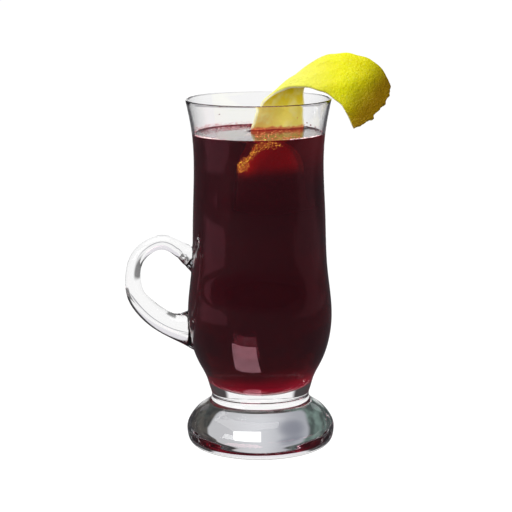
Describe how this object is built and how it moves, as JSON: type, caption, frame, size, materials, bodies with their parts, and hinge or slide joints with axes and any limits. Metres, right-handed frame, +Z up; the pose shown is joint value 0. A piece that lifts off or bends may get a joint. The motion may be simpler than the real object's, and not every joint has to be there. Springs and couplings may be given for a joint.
{
  "type": "hot wine lemonade in a footed glass mug",
  "caption": "Footed clear glass mug with a side handle, filled with a dark red hot drink, a wide twist of lemon peel bent over its rim and dipped in the drink.",
  "frame": {"origin": "centre of the foot's flat underside, on the glass's axis", "axes": "+Z up along the glass's axis; the handle points along -X, the peel hangs over the rim at +X, and the picture looks along +Y"},
  "size_m": [0.1182, 0.0658, 0.1733],
  "materials": {
    "clear_glass": "clear, fire-polished",
    "red_drink": "clear dark red liquid",
    "lemon_zest": "fresh lemon zest with fine pores, cream pith inside"
  },
  "bodies": {
    "root": {"glass": "clear_glass", "drink": "red_drink", "lemon_peel": "lemon_zest"}
  },
  "joints": []
}
